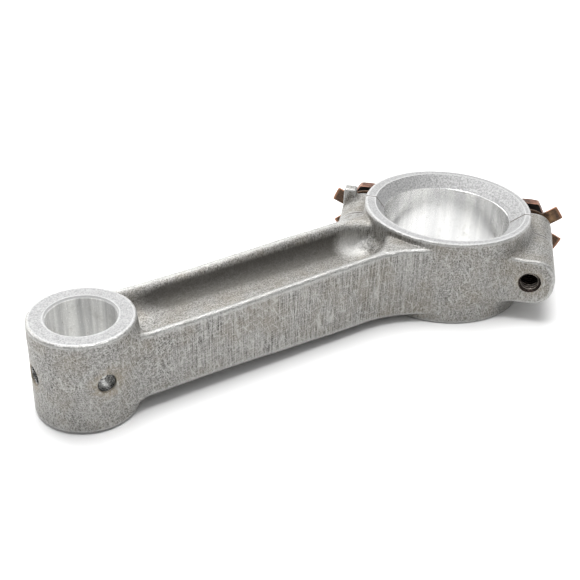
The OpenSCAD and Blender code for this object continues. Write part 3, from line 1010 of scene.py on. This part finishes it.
# %% Machined faces
def faced(name, grain, dark, light, rubbed_and_highlit):
    """A turned or filed face. Its edges are bright from handling and painted as highlights; the cap
    joint is a dark line.
    """
    material, tree, shader, place = finish(name, 0.35, 0.6)
    tone = use(tree, GRAIN, place, "Tone", Size=grain)
    height = use(tree, GRAIN, place, "Height", Size=grain)
    colour = mixed(tree, tone, (dark,) * 3, (light,) * 3)
    marks = use(tree, SCRATCHES, place, Turn=0.3, Size=2.0, Width=0.04, Cover=0.35)
    colour = tinted(tree, colour, marks, 0.5, (0.30, 0.29, 0.28))
    # Edges: rubbed bright, and also painted bright as highlights.
    worn_and_highlit = ramp(tree, attribute(tree, "wear_and_highlight"), 0.25, 0.6, 0.0, rubbed_and_highlit)
    colour = mixed(tree, worn_and_highlit, colour, (0.54, 0.54, 0.54))
    colour = mixed(tree, attribute(tree, "joint"), colour, JOINT_DARK)
    dress(tree, shader, colour, ramp(tree, tone, 0.0, 1.0, 0.7, 0.5), height, 0.06)
    return material


def honed_bore(name, metallic, across, dark, light):
    """A bore with painted reflections as soft bands along Z, some stains and a few dark specks."""
    material, tree, shader, place = finish(name, metallic, 0.24)
    lines = use(tree, LINES, place, Across=across, Along=0.015)
    fine = use(tree, LINES, place, Across=5.0, Along=3.0)
    # The bands from dark to light are painted reflections.
    colour = mixed(tree, lines, (dark,) * 3, (light, light, 0.98 * light))
    stain = use(tree, STAINS, place, Size=5.0, Cover=0.25, Softness=0.05)
    colour = tinted(tree, colour, stain, 0.35, (0.45, 0.44, 0.41))
    specks = use(tree, STAINS, place, Size=0.9, Cover=0.14, Softness=0.02)
    colour = tinted(tree, colour, specks, 0.6, (0.2, 0.18, 0.16))
    dress(tree, shader, colour, ramp(tree, fine, 0.0, 1.0, 0.14, 0.28), fine, 0.004)
    return material


def oily_thread():
    """A tapped hole, black with oil between its bright crests."""
    material, tree, shader, place = finish("oily_thread", 0.85, 0.3)
    tone = use(tree, GRAIN, place, "Tone", Size=0.6)
    colour = mixed(tree, tone, (0.015, 0.011, 0.009), (0.09, 0.07, 0.06))
    colour = mixed(tree, attribute(tree, "wear_and_highlight"), colour, (0.42, 0.38, 0.34))
    dress(tree, shader, colour, ramp(tree, tone, 0.0, 1.0, 0.24, 0.42), tone, 0.01)
    return material


def drilled_hole():
    """A plain drilled hole, smooth and grey."""
    material, tree, shader, place = finish("drilled_hole", 1.0, 0.22)
    tone = use(tree, GRAIN, place, "Tone", Size=0.9)
    colour = mixed(tree, tone, (0.16, 0.16, 0.16), (0.42, 0.42, 0.41))
    dress(tree, shader, colour, ramp(tree, tone, 0.0, 1.0, 0.2, 0.34), tone, 0.01)
    return material


FACED_RIM = faced("faced_rim", 0.4, 0.24, 0.48, 0.7)
CAST_MOUTH = faced("cast_mouth", 0.6, 0.14, 0.48, 0.2)
CRANK_BORE = honed_bore("crank_bore", 0.8, 0.22, 0.66, 0.84)
PIN_BORE = honed_bore("pin_bore", 0.3, 0.33, 0.58, 1.0)
OILY_THREAD, DRILLED_HOLE = oily_thread(), drilled_hole()


FINISHES = [CAST_SKIN, FACED_RIM, CRANK_BORE, OILY_THREAD, CAST_MOUTH, DRILLED_HOLE, PIN_BORE]
SKIN, RIM, CRANK, THREAD, MOUTH, DRILLED, PIN = range(len(FINISHES))


def dress_casting(obj, pin):
    """Gives each face of a casting its finish, from where it lies. Pin: it has the small end."""
    mesh = obj.data
    mesh.materials.clear()
    for material in FINISHES:
        mesh.materials.append(material)
    x, y, z = read(mesh.polygons, "center").T / MM
    nx, ny, nz = read(mesh.polygons, "normal").T
    u, v = turned(x, y)
    level, high, big_r = np.abs(nz) > 0.9, np.abs(z), np.hypot(x, y)
    kind = np.full(len(x), SKIN)
    kind[(big_r < RING_R + 0.3) & (high > BIG_HZ - 0.06) & level] = RIM
    kind[(np.abs(bore_field(x, y, z)) < 0.12) & (high > BIG_HZ - MOUTH_H)] = MOUTH
    kind[(big_r < CRANK_R + 0.1) & (high < BIG_HZ - MOUTH_H + 0.1)] = CRANK
    kind[(np.abs(u) < SPLIT_GAP) & (np.abs(nz) < 0.1)] = RIM
    drilled = (u > -BOSS_ROD_L + 0.1) & (u < BOSS_CAP_L - 0.1) & (np.abs(u) > SPLIT_GAP)
    kind[drilled & (np.hypot(np.abs(v) - BOLT_V, z) < HOLE_R + 0.62)] = THREAD
    if pin:
        across = x + ROD_L
        r = np.hypot(across, y)
        inward = nx * across + ny * y < -0.3 * r
        kind[(r < SMALL_R + 0.3) & (high > SMALL_HZ - 0.06) & level] = RIM
        kind[(r < PIN_R + 0.9) & inward] = RIM
        kind[(r < PIN_R + 0.2) & inward] = PIN
        front = (y < -PIN_R) & (y > -SMALL_R)
        kind[(np.hypot(across, z - FRONT_OIL_Z) < FRONT_OIL_R + 0.05) & front] = DRILLED
        end = (across < -PIN_R) & (across > -SMALL_R)
        kind[(np.hypot(y, z) < END_OIL_R + 0.05) & end] = DRILLED
    mesh.polygons.foreach_set("material_index", kind.astype(np.int32))
    print(obj.name, "faces of each finish:", np.bincount(kind, minlength=len(FINISHES)).tolist())


dress_casting(rod, True)
dress_casting(cap, False)

# %% [markdown]
# The bolts and lock plates are steel. Heat and old oil have turned the heads and plates
# brown over copper-coloured rust, and left the shanks black. The heads' undersides get the
# shanks' black as painted shade, and the far plate is darkened as painted shade. Rubbed edges
# show that rust, and the plates' ear edges carry a painted highlight.

# %% Steel
def rusty_steel(name, dark, warm, bright):
    """Steel under a thin brown film: patches of two browns, dark where the hollow value is high,
    and edges bright from handling and painted as highlights.
    """
    material, tree, shader, place = finish(name, 0.75, 0.45)
    tone = use(tree, GRAIN, place, "Tone", Size=0.5)
    patch = use(tree, STAINS, place, Size=2.6, Cover=0.56, Softness=0.1)
    # Patches fade to the dark brown where the hollow value is high: the plates' darker border, and
    # painted shade on the far plate.
    patch = times(tree, patch, ramp(tree, attribute(tree, "hollow"), 0.0, 0.8, 1.0, 0.15))
    colour = mixed(tree, patch, dark, warm)
    colour = tinted(tree, colour, tone, 0.22, bright)
    colour = mixed(tree, ramp(tree, attribute(tree, "wear_and_highlight"), 0.25, 0.8), colour, bright)
    dress(tree, shader, colour, ramp(tree, tone, 0.0, 1.0, 0.55, 0.35), tone, 0.02)
    return material


HEAD_STEEL = rusty_steel("head_steel", (0.07, 0.042, 0.032), (0.20, 0.10, 0.07),
                         (0.40, 0.24, 0.18))
PLATE_STEEL = rusty_steel("plate_steel", (0.035, 0.026, 0.02), (0.22, 0.14, 0.075),
                          (0.46, 0.24, 0.15))
# Black steel for the shanks, also laid on the heads' undersides as painted shade.
SHANK_AND_UNDERSIDE_SHADE = rusty_steel("black_shank_and_underside_shade", (0.008, 0.008, 0.009), (0.02, 0.018, 0.018),
                          (0.06, 0.055, 0.052))


def along_and_out(obj, v):
    """For each point of a bolt or plate: its U, and its distance from the bolt's axis."""
    x, y, z = read(obj.data.vertices, "co").T / MM
    u, across = turned(x, y)
    return u, np.hypot(across - v, z)


def dress_plate(obj, v):
    """Marks a plate's painted edge highlight on its ears and its darker border, darkens the far
    plate all over as painted shade, and gives the plate its steel.
    """
    _, r = along_and_out(obj, v)
    # Painted highlight on the ears' edges.
    store(obj, "wear_and_highlight", np.repeat(PLATE_EDGE_HIGHLIGHT, PLATE_SIDES) * faded(r, 7.6, 9.1))
    # The darker border; on the far plate (v > 0) painted shade all over.
    store(obj, "hollow", np.maximum(np.repeat(PLATE_BORDER, PLATE_SIDES), v > 0))
    obj.data.materials.append(PLATE_STEEL)


def dress_bolt(obj, v, head_u):
    """Marks the handled corners of a bolt's head, gives the head its steel, and gives the shank
    and the head's underside black steel, which on the underside is painted shade.
    """
    u, r = along_and_out(obj, v)
    corner = HEAD_AF / 2 + 0.35
    store(obj, "wear_and_highlight", faded(r, corner, corner + 0.45) * (u > head_u - 0.1))
    mesh = obj.data
    mesh.materials.clear()
    mesh.materials.append(HEAD_STEEL)
    mesh.materials.append(SHANK_AND_UNDERSIDE_SHADE)
    x, y, _ = read(mesh.polygons, "center").T / MM
    # The shank and the head's underside take the black steel; on the underside it is painted shade.
    shank = turned(x, y)[0] < head_u + 0.05
    mesh.polygons.foreach_set("material_index", shank.astype(np.int32))


dress_bolt(near_bolt, -BOLT_V, NEAR_HEAD_U)
dress_bolt(far_bolt, BOLT_V, FAR_HEAD_U)
dress_plate(near_plate, -BOLT_V)
dress_plate(far_plate, BOLT_V)

for piece, angle in ((rod, 38), (cap, 38), (near_bolt, 40), (far_bolt, 40),
                     (near_plate, 50), (far_plate, 50)):
    piece.data.shade_smooth()
    piece.data.set_sharp_from_angle(angle=math.radians(angle))

# %% [markdown]
# Each piece rides on its body and stands for one node of the frame.

# %% Bodies
for piece, body, node, slot in ((rod, "rod", "rod_body", "rod_casting"),
                                (cap, "cap", "rod_cap", "cap_casting"),
                                (near_bolt, "bolt_near", "near_bolt", "bolts"),
                                (far_bolt, "bolt_far", "far_bolt", "bolts"),
                                (near_plate, "plate_near", "near_lock_plate", "lock_plates"),
                                (far_plate, "plate_far", "far_lock_plate", "lock_plates")):
    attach(piece, body)
    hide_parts(node)
    print(piece.name, "rides on", body, "with", len(piece.data.polygons), "faces")

# %% [markdown]
# The floor is pale and the room is white. A large soft panel hangs above and a weaker one is
# behind, so the side towards the camera is darker than the rims.

# %% Camera, floor and light
def plain_floor():
    """A pale floor just under the big end."""
    size, level = 3000, -BIG_HZ - 0.02
    floor = mesh_object("floor", [(-size, -size, level), (size, -size, level),
                                  (size, size, level), (-size, size, level)], [(0, 1, 2, 3)])
    material, _, shader, _ = finish("pale_floor", 0.0, 0.8)
    shader.inputs["Base Color"].default_value = (0.9, 0.9, 0.9, 1)
    floor.data.materials.append(material)


def set_camera():
    """The camera, in millimetres and degrees."""
    data = bpy.data.cameras.new("camera")
    data.sensor_width, data.lens, data.clip_start = 36.0, 59.2, 0.01
    yaw, pitch, roll = (math.radians(a) for a in (35.25, 31.61, 2.52))
    flat = math.cos(pitch)
    ahead = Vector((math.sin(yaw) * flat, math.cos(yaw) * flat, -math.sin(pitch)))
    right = Vector((math.cos(yaw), -math.sin(yaw), 0))
    up = right.cross(ahead)
    right, up = (right * math.cos(roll) + up * math.sin(roll),
                 up * math.cos(roll) - right * math.sin(roll))
    obj = bpy.data.objects.new("camera", data)
    turn = Matrix((right, up, -ahead)).transposed().to_4x4()
    obj.matrix_world = Matrix.Translation(Vector((-206.16, -203.37, 154.28)) * MM) @ turn
    bpy.context.scene.collection.objects.link(obj)
    bpy.context.scene.camera = obj


def panel(name, place, size, power):
    """A soft square light that faces the middle of the rod."""
    data = bpy.data.lights.new(name, "AREA")
    data.shape, data.size, data.energy = "SQUARE", size * MM, power
    obj = bpy.data.objects.new(name, data)
    middle = Vector((-ROD_L / 2, 0, 0))
    obj.location = Vector(place) * MM
    obj.rotation_euler = (Vector(place) - middle).to_track_quat("Z", "Y").to_euler()
    bpy.context.scene.collection.objects.link(obj)


def studio():
    """A white room that is brighter above than at the sides."""
    world = bpy.data.worlds.new("studio")
    bpy.context.scene.world = world
    world.use_nodes = True
    tree = world.node_tree
    back = tree.nodes["Background"]
    seen = add_node(tree, "ShaderNodeBackground", {"Color": (1, 1, 1, 1), "Strength": 1.0})
    way = add_node(tree, "ShaderNodeTexCoord").outputs["Generated"]
    toward = add_node(tree, "ShaderNodeVectorMath", {0: way, 1: (0.15, 0.6, 0.78)},
                      operation="DOT_PRODUCT").outputs["Value"]
    tree.links.new(ramp(tree, toward, -0.3, 0.95, 0.24, 0.95), back.inputs["Strength"])
    back.inputs["Color"].default_value = (1, 1, 1, 1)
    camera = add_node(tree, "ShaderNodeLightPath").outputs["Is Camera Ray"]
    blend = add_node(tree, "ShaderNodeMixShader", {0: camera, 1: back.outputs[0], 2: seen.outputs[0]})
    tree.links.new(blend.outputs[0], tree.nodes["World Output"].inputs["Surface"])


plain_floor()
set_camera()
studio()
panel("overhead", (-50, 60, 560), 400, 4.2)
panel("behind", (-150, 480, 260), 380, 1.1)
bpy.context.scene.view_settings.view_transform = "Standard"
